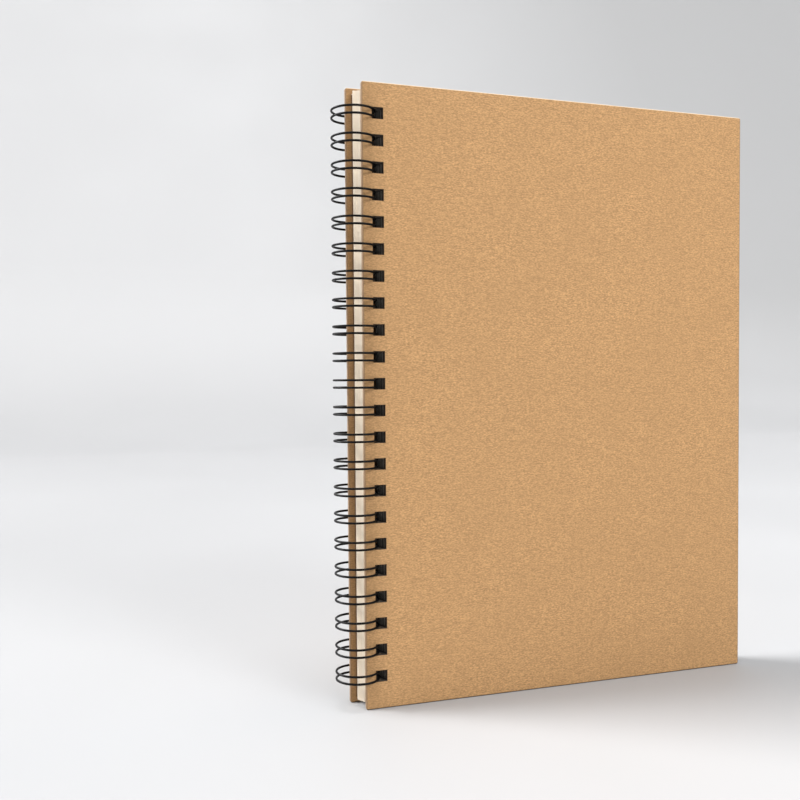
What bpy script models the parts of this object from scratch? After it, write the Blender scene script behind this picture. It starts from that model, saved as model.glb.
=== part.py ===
"""A4 hardcover sketchbook with a twin-loop wire binding, closed and standing on its bottom edge.

+X runs across the covers from the spine to the fore-edge, -Y is out of the front cover and +Z runs up
the spine. All sizes are in metres. Each cover is a greyboard in a kraft paper wrap, whose turn-ins fold
over its edges, with a kraft lining pasted inside. The loose punched sheets lie between the covers in
packets, each a little further along the wire loops than the one in front of it. One black wire, bent
into double loops, passes through every hole and closes between the last packet and the back cover.
The object's origin is the middle of its box, at the foot of the covers.
"""

import math

import bmesh
import bpy
from mathutils import Vector

MM = 0.001

# Covers
COVER_WIDTH = 210 * MM
COVER_HEIGHT = 297 * MM
BOARD_THICKNESS = 1.55 * MM
KRAFT_THICKNESS = 0.25 * MM
GLUE_LINE = 0.1 * MM
TURN_IN = 15 * MM
LINING_INSET = 3 * MM
CORNER_RADIUS = 1.0 * MM
FOLD_RADIUS = 0.5 * MM
ROUNDING_STEPS = 3
ROUND_PROFILE = 0.5
RIM_SLOPE = 0.9
WRAP_DEPTH = BOARD_THICKNESS + 2 * GLUE_LINE + 2 * KRAFT_THICKNESS
COVER_THICKNESS = WRAP_DEPTH + GLUE_LINE + KRAFT_THICKNESS
BOOK_THICKNESS = 13.2 * MM
BACK_COVER_SLIP = -5.3 * MM

# Pages
PAGE_WIDTH = 206 * MM
PAGE_HEIGHT = 293 * MM
PAGE_FOOT = 2 * MM
PACKET_COUNT = 12
FRONT_PACKETS = 6
PACKET_GAP = 0.1 * MM
PAGES_TO_FRONT_COVER = 0.3 * MM
PAGES_TO_BACK_COVER = 1.7 * MM
LAST_PACKET_SLIP = -2.2 * MM

# Punched holes
HOLE_COUNT = 22
HOLE_PITCH = 12.7 * MM
HOLE_WIDTH = 5.4 * MM
HOLE_HEIGHT = 5.3 * MM
HOLE_TO_SPINE_EDGE = 5.0 * MM
LOWEST_HOLE = 15.8 * MM
PUNCH_DEPTH = 6 * MM

# Wire loops, seen from above: an oval whose long axis leans towards the front cover
RING_LONG_RADIUS = 10.3 * MM
RING_SHORT_RADIUS = 9.05 * MM
RING_LEAN = math.radians(34.7)
RING_CENTRE = Vector((-3.125 * MM, 5.126 * MM, 0))
WIRE_RADIUS = 0.45 * MM
LOOP_WIDTH = 4 * MM
BASE_BEND = 1 * MM
TIP_GAP = 1.1 * MM
WIRE_END = 1.5 * MM
ARC_STEPS = 17
TIP_STEPS = 4

# Hinge lines: the back cover turns about its own, and every other leaf about the front one
FRONT_HINGE = Vector((-2.17 * MM, 5.06 * MM, 0))
BACK_HINGE = Vector((-3.77 * MM, 5.82 * MM, 0))

KRAFT_OUTER = (0.577, 0.342, 0.162, 1)
KRAFT_LINING = (0.540, 0.315, 0.147, 1)
GREYBOARD = (0.250, 0.225, 0.190, 1)
CREAM_PAPER = (0.860, 0.740, 0.600, 1)
BLACK_NYLON = (0.010, 0.010, 0.011, 1)


def clear_scene():
    for obj in list(bpy.data.objects):
        bpy.data.objects.remove(obj, do_unlink=True)


def material(name, colour, roughness, metallic=0.0):
    made = bpy.data.materials.new(name)
    made.use_nodes = True
    shader = made.node_tree.nodes["Principled BSDF"]
    shader.inputs["Base Color"].default_value = colour
    shader.inputs["Roughness"].default_value = roughness
    shader.inputs["Metallic"].default_value = metallic
    return made


def collection(name):
    made = bpy.data.collections.new(name)
    bpy.context.scene.collection.children.link(made)
    return made


def add_object(name, mesh, parent, location, group, finish=None):
    obj = bpy.data.objects.new(name, mesh)
    obj.parent = parent
    obj.location = location
    group.objects.link(obj)
    if finish:
        mesh.materials.append(finish)
    return obj


def add_empty(name, location, group, parent=None):
    """A bare frame for other pieces, its place given in its parent's frame."""
    return add_object(name, None, parent, location, group)


def add_cutter(name, mesh, parent, location, group):
    cutter = add_object(name, mesh, parent, location, group)
    cutter.hide_render = True
    cutter.display_type = "WIRE"
    return cutter


def cut(obj, *cutters):
    for cutter in cutters:
        boolean = obj.modifiers.new(cutter.name, "BOOLEAN")
        boolean.operation = "DIFFERENCE"
        boolean.solver = "EXACT"
        boolean.object = cutter


def round_edges(bm, edges, radius):
    bmesh.ops.bevel(
        bm, geom=edges, offset=radius, segments=ROUNDING_STEPS, profile=ROUND_PROFILE, affect="EDGES"
    )


def slab_mesh(name, size, corner=0.0, fold=0.0):
    """An upright sheet round its own centre. Its four outline corners and its face edges can be rounded."""
    bm = bmesh.new()
    bmesh.ops.create_cube(bm, size=1)
    bmesh.ops.scale(bm, vec=size, verts=bm.verts)
    if corner:
        across = [e for e in bm.edges if abs(e.verts[0].co.y - e.verts[1].co.y) > size[1] / 2]
        round_edges(bm, across, corner)
    if fold:
        rims = [e for e in bm.edges if abs(sum(f.normal.y for f in e.link_faces)) > RIM_SLOPE]
        round_edges(bm, rims, fold)
    bmesh.ops.recalc_face_normals(bm, faces=bm.faces)
    mesh = bpy.data.meshes.new(name)
    bm.to_mesh(mesh)
    bm.free()
    return mesh


def hole_height(index):
    return LOWEST_HOLE + index * HOLE_PITCH


def punch_mesh():
    """The row of square punches, with its origin on the foot line at the middle of the holes."""
    bm = bmesh.new()
    for index in range(HOLE_COUNT):
        pin = bmesh.ops.create_cube(bm, size=1)["verts"]
        bmesh.ops.scale(bm, vec=(HOLE_WIDTH, PUNCH_DEPTH, HOLE_HEIGHT), verts=pin)
        bmesh.ops.translate(bm, vec=(0, 0, hole_height(index)), verts=pin)
    mesh = bpy.data.meshes.new("punch")
    bm.to_mesh(mesh)
    bm.free()
    return mesh


def punch_row(name, hinge, edge, middle, punch, cutters):
    """The punches of one leaf, whose spine edge and middle plane are given in the hinge's frame."""
    across = edge + HOLE_TO_SPINE_EDGE + HOLE_WIDTH / 2
    return add_cutter(name, punch, hinge, (across, middle, 0), cutters)


def build_cover(side, hinge, edge, outer, inward, punch, finishes, parts, cutters):
    """A cover as board, wrap and lining. edge is its spine edge and outer its outer face, in the hinge's
    frame, and inward is +1 or -1, the way along Y from the outer face to the pages."""
    middle = edge + COVER_WIDTH / 2
    half_height = COVER_HEIGHT / 2

    def at(depth):
        return (middle, outer + inward * depth, half_height)

    punches = punch_row(f"{side}_punch", hinge, edge, outer + inward * COVER_THICKNESS / 2, punch, cutters)

    wrap_size = Vector((COVER_WIDTH, WRAP_DEPTH, COVER_HEIGHT))
    board_inset = KRAFT_THICKNESS + GLUE_LINE
    board_size = wrap_size - Vector((2, 2, 2)) * board_inset
    board_mesh = slab_mesh(f"{side}_cover_board", board_size, CORNER_RADIUS - board_inset)
    board = add_object(board_mesh.name, board_mesh, hinge, at(WRAP_DEPTH / 2), parts, finishes["board"])
    cut(board, punches)

    wrap_mesh = slab_mesh(f"{side}_cover_wrap", wrap_size, CORNER_RADIUS, FOLD_RADIUS)
    wrap = add_object(wrap_mesh.name, wrap_mesh, hinge, at(WRAP_DEPTH / 2), parts, finishes["wrap"])
    cavity_size = wrap_size - Vector((2, 2, 2)) * KRAFT_THICKNESS
    cavity_mesh = slab_mesh(f"{side}_cavity", cavity_size, CORNER_RADIUS - KRAFT_THICKNESS)
    cavity = add_cutter(cavity_mesh.name, cavity_mesh, hinge, at(WRAP_DEPTH / 2), cutters)
    window_size = (COVER_WIDTH - 2 * TURN_IN, WRAP_DEPTH, COVER_HEIGHT - 2 * TURN_IN)
    window_mesh = slab_mesh(f"{side}_window", window_size)
    window = add_cutter(window_mesh.name, window_mesh, hinge, at(WRAP_DEPTH), cutters)
    cut(wrap, cavity, window, punches)

    lining_size = (COVER_WIDTH - 2 * LINING_INSET, KRAFT_THICKNESS, COVER_HEIGHT - 2 * LINING_INSET)
    lining_mesh = slab_mesh(f"{side}_cover_lining", lining_size)
    lining_depth = COVER_THICKNESS - KRAFT_THICKNESS / 2
    lining = add_object(lining_mesh.name, lining_mesh, hinge, at(lining_depth), parts, finishes["lining"])
    cut(lining, punches)


def build_packets(front_hinge, rear_hinge, punch, finish, parts, cutters):
    """The page packets, front to back: the first ones on one hinge, and the rest on the other."""
    first = COVER_THICKNESS + PAGES_TO_FRONT_COVER
    last = BOOK_THICKNESS - COVER_THICKNESS - PAGES_TO_BACK_COVER
    pitch = (last - first) / PACKET_COUNT
    size = (PAGE_WIDTH, pitch - PACKET_GAP, PAGE_HEIGHT)
    for index in range(PACKET_COUNT):
        hinge = front_hinge if index < FRONT_PACKETS else rear_hinge
        edge = LAST_PACKET_SLIP * index / (PACKET_COUNT - 1) - FRONT_HINGE.x
        middle = first + (index + 0.5) * pitch - FRONT_HINGE.y
        mesh = slab_mesh(f"page_packet_{index + 1:02d}", size)
        place = (edge + PAGE_WIDTH / 2, middle, PAGE_FOOT + PAGE_HEIGHT / 2)
        packet = add_object(mesh.name, mesh, hinge, place, parts, finish)
        cut(packet, punch_row(f"packet_punch_{index + 1:02d}", hinge, edge, middle, punch, cutters))


def ring_reach():
    """How far the loops' oval reaches from its centre along X."""
    return math.hypot(RING_LONG_RADIUS * math.cos(RING_LEAN), RING_SHORT_RADIUS * math.sin(RING_LEAN))


def ring_point(turn, height, swell):
    """A point of the wire's centre line. turn is the oval's own angle, from its long axis to the back."""
    along = swell * RING_LONG_RADIUS * math.cos(turn)
    across = swell * RING_SHORT_RADIUS * math.sin(turn)
    x = along * math.cos(RING_LEAN) + across * math.sin(RING_LEAN)
    y = across * math.cos(RING_LEAN) - along * math.sin(RING_LEAN)
    return RING_CENTRE + Vector((x, y, height))


def seam_turn():
    """The oval's angle where the wire's base runs, midway between the last packet and the back cover."""
    depth = BOOK_THICKNESS - COVER_THICKNESS - PAGES_TO_BACK_COVER / 2 - RING_CENTRE.y
    long_part = RING_LONG_RADIUS * math.sin(RING_LEAN)
    short_part = RING_SHORT_RADIUS * math.cos(RING_LEAN)
    return math.atan2(long_part, short_part) + math.asin(depth / math.hypot(long_part, short_part))


def loop_path(height, seam, per_turn):
    """(turn, height) pairs of one double loop: off the base, round to the tip, over it and back again.
    per_turn is the wire's length for each radian at the seam."""
    half = LOOP_WIDTH / 2
    start = seam + BASE_BEND / per_turn
    end = seam + 2 * math.pi - (TIP_GAP + half) / per_turn
    bend = math.pi / 4
    root = [
        (seam, half + BASE_BEND),
        (seam + BASE_BEND * (1 - math.cos(bend)) / per_turn, half + BASE_BEND * (1 - math.sin(bend))),
    ]
    arc = [(start + (end - start) * step / ARC_STEPS, half) for step in range(ARC_STEPS + 1)]
    lower = [(turn, height - offset) for turn, offset in root + arc]
    upper = [(turn, height + offset) for turn, offset in reversed(root + arc)]
    tip = []
    for step in range(1, TIP_STEPS):
        angle = math.pi * step / TIP_STEPS
        tip.append((end + half * math.sin(angle) / per_turn, height - half * math.cos(angle)))
    return lower + tip + upper


def build_wire(parent, finish, parts):
    seam = seam_turn()
    per_turn = math.hypot(RING_LONG_RADIUS * math.sin(seam), RING_SHORT_RADIUS * math.cos(seam))
    # The facets straddle the true oval, because its points are moved out by half of a facet's sagitta.
    swell = 1 / math.sqrt(math.cos(math.pi / ARC_STEPS))
    path = [(seam, hole_height(0) - LOOP_WIDTH / 2 - BASE_BEND - WIRE_END)]
    for index in range(HOLE_COUNT):
        path += loop_path(hole_height(index), seam, per_turn)
    path.append((seam, hole_height(HOLE_COUNT - 1) + LOOP_WIDTH / 2 + BASE_BEND + WIRE_END))
    curve = bpy.data.curves.new("binding_wire", "CURVE")
    curve.dimensions = "3D"
    curve.bevel_depth = WIRE_RADIUS
    curve.bevel_resolution = 0
    curve.use_fill_caps = True
    spline = curve.splines.new("POLY")
    spline.points.add(len(path) - 1)
    for point, (turn, height) in zip(spline.points, path):
        point.co = (*ring_point(turn, height, swell), 1)
    add_object("binding_wire", curve, parent, (0, 0, 0), parts, finish)


def main():
    clear_scene()
    parts = collection("sketchbook")
    cutters = collection("cutters")
    finishes = {
        "wrap": material("kraft_wrap", KRAFT_OUTER, 0.85),
        "lining": material("kraft_lining", KRAFT_LINING, 0.88),
        "board": material("greyboard", GREYBOARD, 0.95),
    }
    paper = material("cream_paper", CREAM_PAPER, 0.9)
    nylon = material("black_nylon", BLACK_NYLON, 0.35)

    spine_side = RING_CENTRE.x - ring_reach() - WIRE_RADIUS
    origin = Vector((-(COVER_WIDTH + spine_side) / 2, -RING_CENTRE.y, 0))
    book = add_empty("sketchbook", origin, parts)
    rear_pages_hinge = add_empty("rear_pages_hinge", FRONT_HINGE, parts, book)
    front_pages_hinge = add_empty("front_pages_hinge", (0, 0, 0), parts, rear_pages_hinge)
    front_hinge = add_empty("front_cover_hinge", (0, 0, 0), parts, front_pages_hinge)
    back_hinge = add_empty("back_cover_hinge", BACK_HINGE, parts, book)

    punch = punch_mesh()
    edge, outer = -FRONT_HINGE.x, -FRONT_HINGE.y
    build_cover("front", front_hinge, edge, outer, 1, punch, finishes, parts, cutters)
    edge, outer = BACK_COVER_SLIP - BACK_HINGE.x, BOOK_THICKNESS - BACK_HINGE.y
    build_cover("back", back_hinge, edge, outer, -1, punch, finishes, parts, cutters)
    build_packets(front_pages_hinge, rear_pages_hinge, punch, paper, parts, cutters)
    build_wire(book, nylon, parts)


main()
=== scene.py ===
"""Looks for the wire-bound sketchbook: kraft covers, single punched sheets, a black twin-loop wire.

Everything is in metres in the frame's own axes: +X from the spine to the fore-edge, -Y out of the
front cover, +Z up the spine. Book coordinates start at the front cover's spine edge, outer face and
foot.
"""

import math
import random

import bmesh
import bpy
from mathutils import Matrix, Vector


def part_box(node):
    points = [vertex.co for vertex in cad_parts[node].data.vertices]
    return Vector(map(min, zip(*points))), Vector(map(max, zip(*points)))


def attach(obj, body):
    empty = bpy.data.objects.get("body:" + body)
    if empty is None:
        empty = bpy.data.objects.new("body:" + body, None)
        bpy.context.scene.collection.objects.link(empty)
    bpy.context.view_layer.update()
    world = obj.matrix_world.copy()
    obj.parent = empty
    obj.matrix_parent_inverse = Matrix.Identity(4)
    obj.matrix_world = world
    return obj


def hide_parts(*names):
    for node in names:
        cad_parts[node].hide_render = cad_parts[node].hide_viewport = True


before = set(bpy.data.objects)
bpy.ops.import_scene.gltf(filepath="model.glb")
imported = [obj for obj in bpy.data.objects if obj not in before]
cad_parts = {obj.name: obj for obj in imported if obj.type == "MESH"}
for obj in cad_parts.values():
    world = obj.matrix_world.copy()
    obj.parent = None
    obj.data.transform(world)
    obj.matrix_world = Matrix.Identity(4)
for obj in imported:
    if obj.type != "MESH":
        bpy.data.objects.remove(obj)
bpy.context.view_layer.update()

MM = 0.001

# Punched holes, as the covers and packets have them
HOLE_COUNT = 22
HOLE_PITCH = 12.7 * MM
HOLE_WIDTH = 5.4 * MM
HOLE_HEIGHT = 5.3 * MM
HOLE_TO_SPINE_EDGE = 5.0 * MM
LOWEST_HOLE = 15.8 * MM

# Sheets
PACKET_COUNT = 12
SHEETS_PER_PACKET = 4
SHEET_GAP = 0.02 * MM
SHEET_DRIFT = 0.12 * MM
SHEET_SEED = 11
HEAD_DROP = 1.6 * MM
FOOT_RISE = 0.7 * MM

# Wire loops: an oval seen from above, whose long axis leans towards the front cover
WIRE_RADIUS = 0.54 * MM
WIRE_ROUNDNESS = 3
LOOP_WIDTH = 3.5 * MM
BASE_BEND = 1 * MM
TIP_GAP = 1.1 * MM
WIRE_END = 1.5 * MM
RING_LONG_RADIUS = 10.2 * MM
RING_SHORT_RADIUS = 8.53 * MM
RING_LEAN = math.radians(20.4)
RING_CENTRE = Vector((-2.88 * MM, 5.39 * MM, 0))
SEAM_DEPTH = 9.75 * MM
ARC_STEPS = 56
BEND_STEPS = 5
TIP_STEPS = 12

# Colours of the book, as linear red, green and blue
KRAFT_WRAP = (0.578, 0.336, 0.152)
KRAFT_LINING = (0.540, 0.300, 0.137)
# Colour of the cover's sides and foot: edge wear, darkened further with painted shade.
WORN_AND_SHADED_EDGE = (0.22, 0.15, 0.096)
# A painted highlight for the head fold of the outer face.
PAINTED_HEAD_HIGHLIGHT = (0.92, 0.80, 0.62)
# Board grey darkened with painted shade, as its cut walls lie in the holes' shadow.
GREYBOARD_WITH_SHADE = (0.085, 0.07, 0.056)
CREAM_PAPER = (0.90, 0.825, 0.715)
AGED_PAPER = (0.80, 0.68, 0.53)
NYLON_DARK = (0.003, 0.0028, 0.0028)
NYLON_LIGHT = (0.006, 0.0056, 0.0054)
NYLON_SCUFF = (0.02, 0.019, 0.018)

# Painted shade in a strip along the spine, where wire and pages shade each cover: how far along each
# cover it reaches, and how much on each cover
STRIP_START = 4 * MM
STRIP_END = 14 * MM
FRONT_STRIP_SHADE = 0.3
BACK_STRIP_SHADE = 0.5

# Painted shade on the walls and rims of the punched holes, standing for the deep shadow inside them
HOLE_SHADE = (0.012, 0.009, 0.007)
HOLE_SHADE_STRENGTH = 0.9
HOLE_SHADE_START = 0.05 * MM
COVER_HOLE_SHADE_END = 0.2 * MM
SHEET_HOLE_SHADE_END = 0.4 * MM

# Camera, in book coordinates
CAMERA_PLACE = Vector((-88.6 * MM, -366.5 * MM, 158.1 * MM))
CAMERA_YAW = math.radians(16.18)
CAMERA_PITCH = math.radians(1.57)
CAMERA_ROLL = math.radians(-0.41)
CAMERA_LENS = 36.0
CAMERA_SENSOR = 36.0
CAMERA_NEAREST = 0.01

# Lamps, each placed from the middle of the book's foot. A spread is how wide a far lamp looks, in
# degrees.
KEY_PLACE = (0.9, -1.5, 1.3)
KEY_SIZE = 0.7
KEY_POWER = 23
TOP_PLACE = (0.05, -0.1, 1.0)
TOP_SPREAD = 28
TOP_STRENGTH = 1.9
SIDE_PLACE = (-0.78, 0.28, 0.56)
SIDE_SPREAD = 26
SIDE_STRENGTH = 6.7

# Light from all round, and how bright it looks beyond the floor
SKY_COLOUR = (0.97, 0.98, 1.0, 1)
SKY_LIGHT = 0.42
SKY_SEEN = 0.88

# Studio floor, in metres: flat from front to back, then bending up to a slope
FLOOR_FRONT = -9.0
FLOOR_BACK = 1.4
FLOOR_SIDE = 9.0
SWEEP_SLOPE = math.radians(60)
SWEEP_BEND = 1.0
SWEEP_STEPS = 24
SLOPE_LENGTH = 6.0
FLOOR_DARK = (0.355, 0.356, 0.362)
FLOOR_LIGHT = (0.375, 0.376, 0.382)
# The slope's colours hold painted light: paler than the flat floor, fading to a greyer painted shade
# towards the right.
SLOPE_LEFT = (0.72, 0.72, 0.724)
SLOPE_RIGHT = (0.57, 0.57, 0.57)
SLOPE_FADE_START = 0.1
SLOPE_FADE_END = 1.9

BOOK = Vector(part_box("front_cover_wrap")[0])


# ---------------------------------------------------------------- node helpers


class Nodes:
    """A short way to write one material's node tree."""

    def __init__(self, name):
        self.material = bpy.data.materials.new(name)
        self.material.use_nodes = True
        self.tree = self.material.node_tree
        self.shader = self.tree.nodes["Principled BSDF"]
        self.place = self.add("ShaderNodeTexCoord").outputs["Object"]
        self.x, self.y, self.z = self.add("ShaderNodeSeparateXYZ", {0: self.place}).outputs

    def add(self, kind, values=None, **settings):
        node = self.tree.nodes.new(kind)
        for key, value in settings.items():
            setattr(node, key, value)
        for key, value in (values or {}).items():
            if isinstance(value, bpy.types.NodeSocket):
                self.tree.links.new(value, node.inputs[key])
            else:
                node.inputs[key].default_value = value
        return node

    def link(self, output, key):
        self.tree.links.new(output, self.shader.inputs[key])

    def scaled(self, stretch):
        """The object's own coordinates, multiplied along each axis."""
        return self.add("ShaderNodeMapping", {"Vector": self.place, "Scale": stretch}).outputs[0]

    def noise(self, vector, scale, detail, roughness):
        values = {"Vector": vector, "Scale": scale, "Detail": detail, "Roughness": roughness}
        return self.add("ShaderNodeTexNoise", values).outputs["Fac"]

    def ramp(self, value, low, high, from_value=0.0, to_value=1.0):
        """value stretched from low..high to from_value..to_value, and held there outside."""
        values = {0: value, 1: low, 2: high, 3: from_value, 4: to_value}
        return self.add("ShaderNodeMapRange", values).outputs[0]

    def math(self, operation, first, second=0.0):
        return self.add("ShaderNodeMath", {0: first, 1: second}, operation=operation).outputs[0]

    def mix(self, factor, first, second):
        node = self.add("ShaderNodeMix", {"Factor": factor}, data_type="RGBA")
        for socket, value in ((node.inputs[6], first), (node.inputs[7], second)):
            if isinstance(value, bpy.types.NodeSocket):
                self.tree.links.new(value, socket)
            else:
                socket.default_value = (*value, 1)
        return node.outputs[2]

    def bump(self, height, strength, distance, normal=None):
        values = {"Height": height, "Strength": strength, "Distance": distance}
        if normal:
            values["Normal"] = normal
        return self.add("ShaderNodeBump", values).outputs[0]


def shade(colour, factor):
    return tuple(min(1.0, part * factor) for part in colour)


# ---------------------------------------------------------------- materials


def kraft(name, base, low, high, strip_shade):
    """Kraft paper on a cover: worn edges with painted shade, a painted highlight at the head, and
    painted shade along the spine strip and in the hole rims.
    low and high are the corners of the sheet it covers."""
    nodes = Nodes(name)
    clouds = nodes.noise(nodes.place, 38, 3, 0.6)
    streaks = nodes.noise(nodes.scaled((900, 2100, 2100)), 1, 2, 0.5)
    pulp = nodes.noise(nodes.place, 2600, 2, 0.6)
    colour = kraft_pulp(nodes, base, clouds, streaks, pulp)
    colour = add_flecks(nodes, colour, base)
    # Painted shade along the spine strip, stronger on the back cover.
    strip = nodes.ramp(nodes.x, low.x + STRIP_START, low.x + STRIP_END, strip_shade, 0.0)
    colour = nodes.mix(strip, colour, shade(base, 0.5))
    colour = edge_wear_and_painted_light(nodes, colour, base, low, high)
    hole_middle = low.x + HOLE_TO_SPINE_EDGE + HOLE_WIDTH / 2
    # Painted shade on the hole walls and rims, for the shadow inside the holes.
    colour = nodes.mix(near_holes(nodes, hole_middle, COVER_HOLE_SHADE_END), colour, HOLE_SHADE)
    nodes.link(colour, "Base Color")
    nodes.link(nodes.ramp(pulp, 0.3, 0.7, 0.78, 0.94), "Roughness")
    nodes.shader.inputs["Specular IOR Level"].default_value = 0.25
    relief = nodes.math("ADD", streaks, nodes.math("MULTIPLY", pulp, 0.6))
    unevenness = nodes.bump(clouds, 0.1, 0.3 * MM)
    nodes.link(nodes.bump(relief, 0.3, 0.03 * MM, unevenness), "Normal")
    return nodes.material


def kraft_pulp(nodes, base, clouds, streaks, pulp):
    """Cloudy brown pulp, with fibres that lie mostly across the sheet."""
    fibres = nodes.noise(nodes.scaled((330, 2600, 2600)), 1, 2, 0.5)
    colour = nodes.mix(nodes.ramp(streaks, 0.3, 0.7), shade(base, 0.5), shade(base, 1.4))
    colour = nodes.mix(nodes.ramp(fibres, 0.45, 0.7, 0.0, 0.45), colour, shade(base, 0.7))
    colour = nodes.mix(nodes.ramp(fibres, 0.3, 0.55, 0.45, 0.0), colour, shade(base, 1.25))
    colour = nodes.mix(nodes.ramp(pulp, 0.35, 0.65, 0.0, 0.4), colour, base)
    return nodes.mix(nodes.ramp(clouds, 0.35, 0.7, 0.0, 0.35), colour, shade(base, 0.87))


def add_flecks(nodes, colour, base):
    """Sparse dark and pale specks of fibre, up to half a millimetre long."""
    values = {"Vector": nodes.scaled((420, 900, 1000)), "Scale": 1.0}
    cells = nodes.add("ShaderNodeTexVoronoi", values)
    near = nodes.ramp(cells.outputs["Distance"], 0.10, 0.24, 1.0, 0.0)
    pick = nodes.add("ShaderNodeSeparateColor", {0: cells.outputs["Color"]})
    dark = nodes.math("MULTIPLY", near, nodes.ramp(pick.outputs[0], 0.90, 0.93, 0.0, 0.6))
    pale = nodes.math("MULTIPLY", near, nodes.ramp(pick.outputs[1], 0.88, 0.92, 0.0, 0.5))
    return nodes.mix(pale, nodes.mix(dark, colour, shade(base, 0.5)), shade(base, 1.35))


def edge_wear_and_painted_light(nodes, colour, base, low, high):
    """Patchy dulled sides, partly edge wear and partly painted shade, a painted contact shadow along
    the foot, and a painted highlight along the head of the cover's outer face.
    """
    patches = nodes.ramp(nodes.noise(nodes.place, 700, 4, 0.7), 0.2, 0.5, 0.7, 1.0)
    # Sides and foot: edge wear, with painted shade mixed in.
    colour = nodes.mix(nodes.math("MULTIPLY", outline(nodes, low, high), patches), colour, WORN_AND_SHADED_EDGE)
    # Painted contact shadow along the foot.
    foot = nodes.ramp(nodes.z, low.z + 0.25 * MM, low.z + 0.6 * MM, 0.85, 0.0)
    colour = nodes.mix(foot, colour, shade(base, 0.15))
    # Painted highlight along the head fold of the outer face.
    head = nodes.ramp(nodes.z, high.z - 0.6 * MM, high.z - 0.15 * MM, 0.0, 0.8)
    outer_face = nodes.ramp(nodes.y, low.y + 0.5 * MM, low.y + 0.9 * MM, 1.0, 0.0)
    head_highlight = nodes.math("MULTIPLY", nodes.math("MULTIPLY", head, outer_face), patches)
    return nodes.mix(head_highlight, colour, PAINTED_HEAD_HIGHLIGHT)


def outline(nodes, low, high):
    """High along the sides and foot of a sheet in the box low..high, and 0 a millimetre inside."""
    across = nodes.math("ABSOLUTE", nodes.math("SUBTRACT", nodes.x, (low.x + high.x) / 2))
    to_side = nodes.math("SUBTRACT", (high.x - low.x) / 2, across)
    to_foot = nodes.math("SUBTRACT", nodes.z, low.z)
    return nodes.ramp(nodes.math("MINIMUM", to_side, to_foot), 0.2 * MM, 0.75 * MM, 0.9, 0.0)


def near_holes(nodes, middle, shade_end):
    """Mask of the painted hole shade: high on the walls of the punched holes, and 0 at shade_end from
    them. middle is the holes' x.
    """
    row = nodes.math("DIVIDE", nodes.math("SUBTRACT", nodes.z, LOWEST_HOLE), HOLE_PITCH)
    held_row = nodes.add("ShaderNodeClamp", {0: row, 1: 0, 2: HOLE_COUNT - 1}).outputs[0]
    rows_away = nodes.math("ABSOLUTE", nodes.math("SUBTRACT", row, nodes.math("ROUND", held_row)))
    above = nodes.math("SUBTRACT", nodes.math("MULTIPLY", rows_away, HOLE_PITCH), HOLE_HEIGHT / 2)
    across = nodes.math("ABSOLUTE", nodes.math("SUBTRACT", nodes.x, middle))
    beside = nodes.math("SUBTRACT", across, HOLE_WIDTH / 2)
    away = nodes.math("MAXIMUM", beside, above)
    return nodes.ramp(away, HOLE_SHADE_START, shade_end, HOLE_SHADE_STRENGTH, 0.0)


def greyboard():
    """Recycled board, seen in the cut walls of the holes: grey pulp in thin plies, loose fibres, its
    grey darkened with painted shade for the hole walls.
    """
    nodes = Nodes("greyboard_pulp")
    plies = nodes.noise(nodes.scaled((500, 6500, 500)), 1, 3, 0.6)
    pulp = nodes.noise(nodes.place, 1800, 4, 0.7)
    colour = nodes.mix(nodes.ramp(plies, 0.35, 0.65), shade(GREYBOARD_WITH_SHADE, 0.78), shade(GREYBOARD_WITH_SHADE, 1.2))
    colour = nodes.mix(nodes.ramp(pulp, 0.55, 0.75, 0.0, 0.5), colour, shade(GREYBOARD_WITH_SHADE, 1.5))
    nodes.link(colour, "Base Color")
    nodes.link(nodes.ramp(pulp, 0.3, 0.7, 0.9, 1.0), "Roughness")
    nodes.link(nodes.bump(nodes.math("ADD", plies, pulp), 0.6, 0.1 * MM), "Normal")
    return nodes.material


def drawing_paper():
    """Uncoated cream drawing paper: a fine tooth, soft pulp clouds, and each sheet's own tone."""
    nodes = Nodes("cream_drawing_paper")
    formation = nodes.noise(nodes.place, 160, 4, 0.6)
    tooth = nodes.noise(nodes.place, 2600, 3, 0.7)
    sheet_tone = nodes.add("ShaderNodeAttribute", attribute_name="sheet_tone").outputs["Fac"]
    hole_middle = nodes.add("ShaderNodeAttribute", attribute_name="hole_middle").outputs["Fac"]
    colour = nodes.mix(nodes.ramp(formation, 0.3, 0.7), shade(CREAM_PAPER, 0.965), CREAM_PAPER)
    colour = nodes.mix(nodes.ramp(tooth, 0.35, 0.7, 0.0, 0.25), colour, shade(CREAM_PAPER, 0.92))
    colour = nodes.mix(nodes.math("MULTIPLY", sheet_tone, 0.5), colour, AGED_PAPER)
    # Painted shade on the hole walls and rims, for the shadow inside the holes.
    colour = nodes.mix(near_holes(nodes, hole_middle, SHEET_HOLE_SHADE_END), colour, HOLE_SHADE)
    nodes.link(colour, "Base Color")
    nodes.link(nodes.ramp(tooth, 0.3, 0.7, 0.82, 0.96), "Roughness")
    nodes.shader.inputs["Specular IOR Level"].default_value = 0.3
    nodes.link(nodes.bump(tooth, 0.35, 0.03 * MM), "Normal")
    return nodes.material


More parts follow.
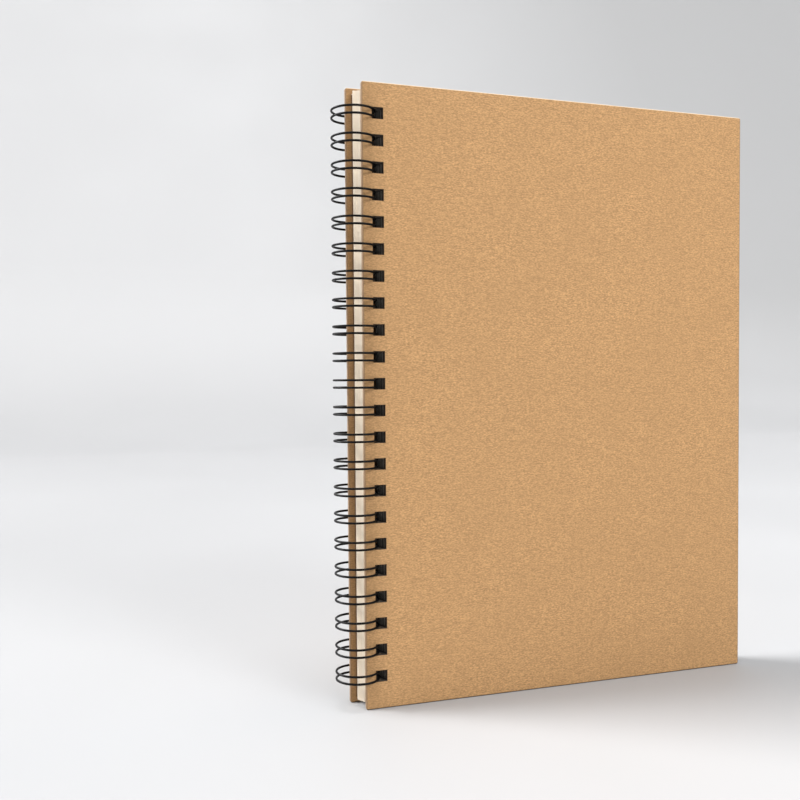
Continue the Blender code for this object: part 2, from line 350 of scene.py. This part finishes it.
def black_nylon():
    """The wire's coat: satin black nylon, a little uneven, with faint scuffs."""
    nodes = Nodes("black_nylon_coat")
    flow = nodes.noise(nodes.place, 900, 3, 0.55)
    scuff = nodes.noise(nodes.scaled((1200, 1200, 5200)), 1, 4, 0.65)
    colour = nodes.mix(nodes.ramp(flow, 0.35, 0.65), NYLON_DARK, NYLON_LIGHT)
    colour = nodes.mix(nodes.ramp(scuff, 0.66, 0.8, 0.0, 0.35), colour, NYLON_SCUFF)
    nodes.link(colour, "Base Color")
    nodes.link(nodes.ramp(scuff, 0.35, 0.75, 0.28, 0.5), "Roughness")
    nodes.shader.inputs["Specular IOR Level"].default_value = 0.11
    nodes.link(nodes.bump(flow, 0.2, 0.05 * MM), "Normal")
    return nodes.material


def studio_floor():
    """Pale grey where it lies flat; where it stands up, whiter as painted light and greyer towards
    the right as painted shade.
    """
    nodes = Nodes("studio_floor")
    tone = nodes.noise(nodes.place, 3.0, 3, 0.5)
    flat = nodes.mix(nodes.ramp(tone, 0.3, 0.7), FLOOR_DARK, FLOOR_LIGHT)
    # Painted shade: the standing slope greys towards the right; its paleness over the flat part is
    # painted light.
    rightward = nodes.ramp(nodes.x, SLOPE_FADE_START, SLOPE_FADE_END)
    slope = nodes.mix(rightward, SLOPE_LEFT, SLOPE_RIGHT)
    normal = nodes.add("ShaderNodeNewGeometry").outputs["Normal"]
    upward = nodes.add("ShaderNodeSeparateXYZ", {0: normal}).outputs[2]
    lies_flat = nodes.ramp(upward, math.cos(SWEEP_SLOPE), 1.0)
    nodes.link(nodes.mix(lies_flat, slope, flat), "Base Color")
    nodes.link(nodes.ramp(tone, 0.3, 0.7, 0.5, 0.6), "Roughness")
    nodes.shader.inputs["Specular IOR Level"].default_value = 0.25
    nodes.link(nodes.bump(tone, 0.1, 1 * MM), "Normal")
    return nodes.material


# ---------------------------------------------------------------- pieces


def add_piece(name, data, finish):
    data.materials.append(finish)
    piece = bpy.data.objects.new(name, data)
    bpy.context.scene.collection.objects.link(piece)
    return piece


def hole_height(index):
    return LOWEST_HOLE + index * HOLE_PITCH


def punched_grid(low, high, hole_left):
    """(columns, rows): the grid lines of an upright sheet whose cells include the square holes."""
    columns = [low.x, hole_left, hole_left + HOLE_WIDTH, high.x]
    rows = [low.z]
    for index in range(HOLE_COUNT):
        rows += [hole_height(index) - HOLE_HEIGHT / 2, hole_height(index) + HOLE_HEIGHT / 2]
    return columns, [*rows, high.z]


def add_sheet(shape, low, high, hole_left, drift):
    """One closed punched sheet in the box low..high, moved by drift."""
    columns, rows = punched_grid(low, high, hole_left)
    front = {}
    back = {}
    for column, x in enumerate(columns):
        for row, z in enumerate(rows):
            front[column, row] = shape.verts.new(Vector((x, low.y, z)) + drift)
            back[column, row] = shape.verts.new(Vector((x, high.y, z)) + drift)

    def is_paper(column, row):
        inside = 0 <= column < len(columns) - 1 and 0 <= row < len(rows) - 1
        return inside and not (column == 1 and row % 2 == 1)

    faces = []
    cells = [(column, row) for column in range(len(columns) - 1) for row in range(len(rows) - 1)]
    for column, row in cells:
        if not is_paper(column, row):
            continue
        corners = [(column, row), (column + 1, row), (column + 1, row + 1), (column, row + 1)]
        beyond = [(column, row - 1), (column + 1, row), (column, row + 1), (column - 1, row)]
        faces.append([front[corner] for corner in corners])
        faces.append([back[corner] for corner in reversed(corners)])
        for neighbour, start, end in zip(beyond, corners, corners[1:] + corners[:1]):
            if not is_paper(*neighbour):
                faces.append([front[end], front[start], back[start], back[end]])
    return [shape.faces.new(face) for face in faces]


def build_sheets(index, chance, finish):
    """The single sheets of one packet, each a little out of line with the next. The block is not
    quite square: the sheets nearest the front cover stop shortest at the head and foot."""
    node = f"page_packet_{index:02d}"
    low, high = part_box(node)
    pitch = (high.y - low.y + SHEET_GAP) / SHEETS_PER_PACKET
    hole_left = low.x + HOLE_TO_SPINE_EDGE
    shape = bmesh.new()
    tone = shape.faces.layers.float.new("sheet_tone")
    middle = shape.faces.layers.float.new("hole_middle")
    for sheet in range(SHEETS_PER_PACKET):
        front = low.y + sheet * pitch
        shortness = 1 - (index - 1 + sheet / SHEETS_PER_PACKET) / PACKET_COUNT
        foot = low.z + SHEET_DRIFT + FOOT_RISE * shortness
        head = high.z - SHEET_DRIFT - HEAD_DROP * shortness
        drift = Vector((chance.uniform(-1, 0.4), 0, chance.uniform(-1, 1))) * SHEET_DRIFT
        sheet_low = Vector((low.x + SHEET_DRIFT, front, foot))
        sheet_high = Vector((high.x - SHEET_DRIFT, front + pitch - SHEET_GAP, head))
        sheet_tone = chance.random()
        for face in add_sheet(shape, sheet_low, sheet_high, hole_left, drift):
            face[tone] = sheet_tone
            face[middle] = hole_left + HOLE_WIDTH / 2 + drift.x
    bmesh.ops.recalc_face_normals(shape, faces=shape.faces)
    mesh = bpy.data.meshes.new(f"sheets_{index:02d}")
    shape.to_mesh(mesh)
    shape.free()
    piece = add_piece(mesh.name, mesh, finish)
    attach(piece, "front_pages" if index <= PACKET_COUNT // 2 else "rear_pages")
    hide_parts(node)


def ring_point(turn, height):
    """A point of the wire's centre line. turn is the oval's own angle, from its long axis back."""
    along = RING_LONG_RADIUS * math.cos(turn)
    across = RING_SHORT_RADIUS * math.sin(turn)
    x = along * math.cos(RING_LEAN) + across * math.sin(RING_LEAN)
    y = across * math.cos(RING_LEAN) - along * math.sin(RING_LEAN)
    return BOOK + RING_CENTRE + Vector((x, y, height))


def seam_turn():
    """The oval's angle where the wire's base runs, between the last sheet and the back cover."""
    depth = SEAM_DEPTH - RING_CENTRE.y
    long_part = RING_LONG_RADIUS * math.sin(RING_LEAN)
    short_part = RING_SHORT_RADIUS * math.cos(RING_LEAN)
    peak = math.atan2(long_part, short_part)
    return peak + math.asin(depth / math.hypot(long_part, short_part))


def loop_path(height, seam, per_turn):
    """(turn, height) pairs of one double loop: off the base, round to the tip, over and back."""
    half = LOOP_WIDTH / 2
    start = seam + BASE_BEND / per_turn
    end = seam + 2 * math.pi - (TIP_GAP + half) / per_turn
    root = []
    for step in range(BEND_STEPS + 1):
        bend = math.pi / 2 * step / BEND_STEPS
        turn = seam + BASE_BEND * (1 - math.cos(bend)) / per_turn
        root.append((turn, half + BASE_BEND * (1 - math.sin(bend))))
    arc = [(start + (end - start) * step / ARC_STEPS, half) for step in range(1, ARC_STEPS + 1)]
    lower = [(turn, height - offset) for turn, offset in root + arc]
    upper = [(turn, height + offset) for turn, offset in reversed(root + arc)]
    tip = []
    for step in range(1, TIP_STEPS):
        angle = math.pi * step / TIP_STEPS
        tip.append((end + half * math.sin(angle) / per_turn, height - half * math.cos(angle)))
    return lower + tip + upper


def wire_path():
    """(turn, height) pairs of the whole wire, from its lower end to its upper one."""
    seam = seam_turn()
    per_turn = math.hypot(RING_LONG_RADIUS * math.sin(seam), RING_SHORT_RADIUS * math.cos(seam))
    beyond_loop = LOOP_WIDTH / 2 + BASE_BEND + WIRE_END
    path = [(seam, hole_height(0) - beyond_loop)]
    for index in range(HOLE_COUNT):
        path += loop_path(hole_height(index), seam, per_turn)
    path.append((seam, hole_height(HOLE_COUNT - 1) + beyond_loop))
    return path


def build_wire(finish):
    path = wire_path()
    curve = bpy.data.curves.new("twin_loop_wire", "CURVE")
    curve.dimensions = "3D"
    curve.bevel_depth = WIRE_RADIUS
    curve.bevel_resolution = WIRE_ROUNDNESS
    curve.use_fill_caps = True
    spline = curve.splines.new("POLY")
    spline.points.add(len(path) - 1)
    spline.use_smooth = True
    for point, (turn, height) in zip(spline.points, path):
        point.co = (*ring_point(turn, height), 1)
    wire = add_piece("twin_loop_wire", curve, finish)
    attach(wire, "wire")
    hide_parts("binding_wire")


def finish_node(name, finish):
    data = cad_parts[name].data
    data.materials.clear()
    data.materials.append(finish)


def finish_covers():
    board = greyboard()
    for side, strip_shade in (("front", FRONT_STRIP_SHADE), ("back", BACK_STRIP_SHADE)):
        for sheet, base in (("wrap", KRAFT_WRAP), ("lining", KRAFT_LINING)):
            name = f"{side}_cover_{sheet}"
            low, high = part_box(name)
            finish_node(name, kraft(f"{side}_kraft_{sheet}", base, low, high, strip_shade))
        finish_node(f"{side}_cover_board", board)


# ---------------------------------------------------------------- studio


def add_camera():
    data = bpy.data.cameras.new("camera")
    data.lens = CAMERA_LENS
    data.sensor_width = CAMERA_SENSOR
    data.clip_start = CAMERA_NEAREST
    camera = bpy.data.objects.new("camera", data)
    bpy.context.scene.collection.objects.link(camera)
    turn = (
        Matrix.Rotation(-CAMERA_YAW, 4, "Z")
        @ Matrix.Rotation(math.pi / 2 - CAMERA_PITCH, 4, "X")
        @ Matrix.Rotation(CAMERA_ROLL, 4, "Z")
    )
    camera.matrix_world = Matrix.Translation(BOOK + CAMERA_PLACE) @ turn
    bpy.context.scene.camera = camera


def add_lamp(name, data, place):
    """Add a lamp at the given place that shines on the book."""
    lamp = bpy.data.objects.new(name, data)
    lamp.location = place
    lamp.rotation_euler = Vector(place).to_track_quat("Z", "Y").to_euler()
    bpy.context.scene.collection.objects.link(lamp)


def add_near_lamp(name, place, size, power):
    """A soft box near the book, so its light fades across the cover."""
    data = bpy.data.lights.new(name, "AREA")
    data.shape = "SQUARE"
    data.size = size
    data.energy = power
    add_lamp(name, data, place)


def add_far_lamp(name, place, spread, strength):
    """A lamp that lights book and studio evenly, as if from far beyond its place."""
    data = bpy.data.lights.new(name, "SUN")
    data.energy = strength
    data.angle = math.radians(spread)
    add_lamp(name, data, place)


def sweep_profile():
    """The floor's outline seen from the side: flat, then bending up to a steady slope."""
    points = [(FLOOR_FRONT, 0.0), (FLOOR_BACK, 0.0)]
    for step in range(1, SWEEP_STEPS + 1):
        angle = SWEEP_SLOPE * step / SWEEP_STEPS
        y = FLOOR_BACK + SWEEP_BEND * math.sin(angle)
        points.append((y, SWEEP_BEND * (1 - math.cos(angle))))
    last_y, last_z = points[-1]
    top_y = last_y + SLOPE_LENGTH * math.cos(SWEEP_SLOPE)
    top_z = last_z + SLOPE_LENGTH * math.sin(SWEEP_SLOPE)
    return [*points, (top_y, top_z)]


def add_floor():
    shape = bmesh.new()
    lines = [
        [shape.verts.new((-FLOOR_SIDE, y, z)), shape.verts.new((FLOOR_SIDE, y, z))]
        for y, z in sweep_profile()
    ]
    for (left, right), (next_left, next_right) in zip(lines, lines[1:]):
        shape.faces.new((left, right, next_right, next_left))
    mesh = bpy.data.meshes.new("studio_sweep")
    shape.to_mesh(mesh)
    shape.free()
    mesh.shade_smooth()
    add_piece("studio_sweep", mesh, studio_floor())


def add_world():
    """Soft light from all round. Beyond the floor's edges it looks as pale as the floor."""
    world = bpy.data.worlds.new("studio")
    world.use_nodes = True
    tree = world.node_tree
    around = tree.nodes["Background"]
    beyond = tree.nodes.new("ShaderNodeBackground")
    for sky, strength in ((around, SKY_LIGHT), (beyond, SKY_SEEN)):
        sky.inputs["Color"].default_value = SKY_COLOUR
        sky.inputs["Strength"].default_value = strength
    choice = tree.nodes.new("ShaderNodeMixShader")
    tree.links.new(tree.nodes.new("ShaderNodeLightPath").outputs["Is Camera Ray"], choice.inputs[0])
    tree.links.new(around.outputs[0], choice.inputs[1])
    tree.links.new(beyond.outputs[0], choice.inputs[2])
    tree.links.new(choice.outputs[0], tree.nodes["World Output"].inputs["Surface"])
    bpy.context.scene.world = world
    bpy.context.scene.view_settings.view_transform = "Standard"


def build_studio():
    add_camera()
    add_world()
    add_floor()
    add_near_lamp("key", KEY_PLACE, KEY_SIZE, KEY_POWER)
    add_far_lamp("top", TOP_PLACE, TOP_SPREAD, TOP_STRENGTH)
    add_far_lamp("side", SIDE_PLACE, SIDE_SPREAD, SIDE_STRENGTH)


def main():
    build_studio()
    finish_covers()
    paper = drawing_paper()
    chance = random.Random(SHEET_SEED)
    for index in range(1, PACKET_COUNT + 1):
        build_sheets(index, chance, paper)
    build_wire(black_nylon())


main()
